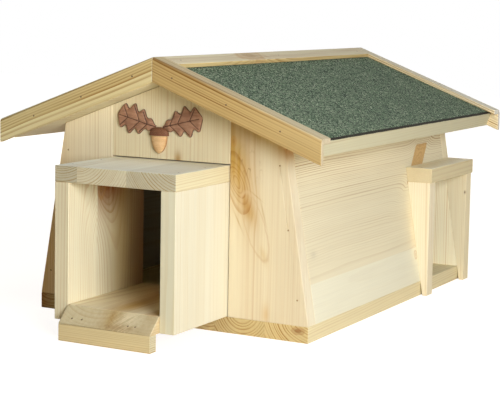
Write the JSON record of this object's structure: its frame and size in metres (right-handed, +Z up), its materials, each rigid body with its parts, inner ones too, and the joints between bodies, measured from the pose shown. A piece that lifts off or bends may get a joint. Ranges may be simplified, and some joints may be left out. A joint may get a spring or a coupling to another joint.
{
  "type": "hedgehog house",
  "caption": "Gabled timber hedgehog house with leaning walls, a plug-in entrance tunnel on a bevelled step, a roofed side exit and a lift-off roof in green mineral felt.",
  "frame": {"origin": "middle of the floor's underside, on the ground", "axes": "+X to the right seen from the front, the side exit's side; +Y from front to back; +Z up"},
  "size_m": [0.412, 0.645, 0.303],
  "materials": {
    "board_pine": "untreated glued pine boards, planed",
    "moulding_pine": "untreated pine mouldings with strong lengthwise grain",
    "roof_felt": "bitumen felt with green mineral granules",
    "nail_steel": "bright steel nails and screws, dulled",
    "leaf_brown": "dark brown stained thin wood",
    "acorn_tan": "tan stained thin wood",
    "cap_brown": "mid brown stained thin wood"
  },
  "bodies": {
    "house": {"floor_board": "board_pine", "front_left_board": "board_pine", "front_middle_board": "board_pine", "front_right_board": "board_pine", "back_wall": "board_pine", "left_side_wall": "board_pine", "right_side_wall": "board_pine", "exit_front_wall": "board_pine", "exit_rear_wall": "board_pine", "exit_roof": "board_pine", "front_wall_nails": "nail_steel", "back_wall_nails": "nail_steel", "floor_screws": "nail_steel", "exit_nails": "nail_steel", "ornament_left_leaf": "leaf_brown", "ornament_right_leaf": "leaf_brown", "ornament_nut": "acorn_tan", "ornament_cap": "cap_brown"},
    "tunnel": {"tunnel_left_wall": "board_pine", "tunnel_right_wall": "board_pine", "tunnel_roof": "board_pine", "tunnel_floor": "board_pine", "tunnel_foot": "board_pine", "tunnel_roof_nails": "nail_steel", "lip_nails": "nail_steel"},
    "roof": {"left_roof_panel": "board_pine", "right_roof_panel": "board_pine", "left_roof_felt": "roof_felt", "right_roof_felt": "roof_felt", "front_left_trim": "moulding_pine", "front_right_trim": "moulding_pine", "rear_left_trim": "moulding_pine", "rear_right_trim": "moulding_pine", "left_ridge_strip": "moulding_pine", "right_ridge_strip": "moulding_pine", "front_gusset": "board_pine", "rear_gusset": "board_pine", "front_trim_nails": "nail_steel", "rear_trim_nails": "nail_steel", "ridge_nails": "nail_steel"}
  },
  "joints": [
    {"name": "roof_lift", "type": "slide", "parent": "house", "child": "roof", "axis": [0, 0, 1], "range_m": [0, 0.25]},
    {"name": "tunnel_pull", "type": "slide", "parent": "house", "child": "tunnel", "axis": [0, -1, 0], "range_m": [0, 0.2]}
  ]
}
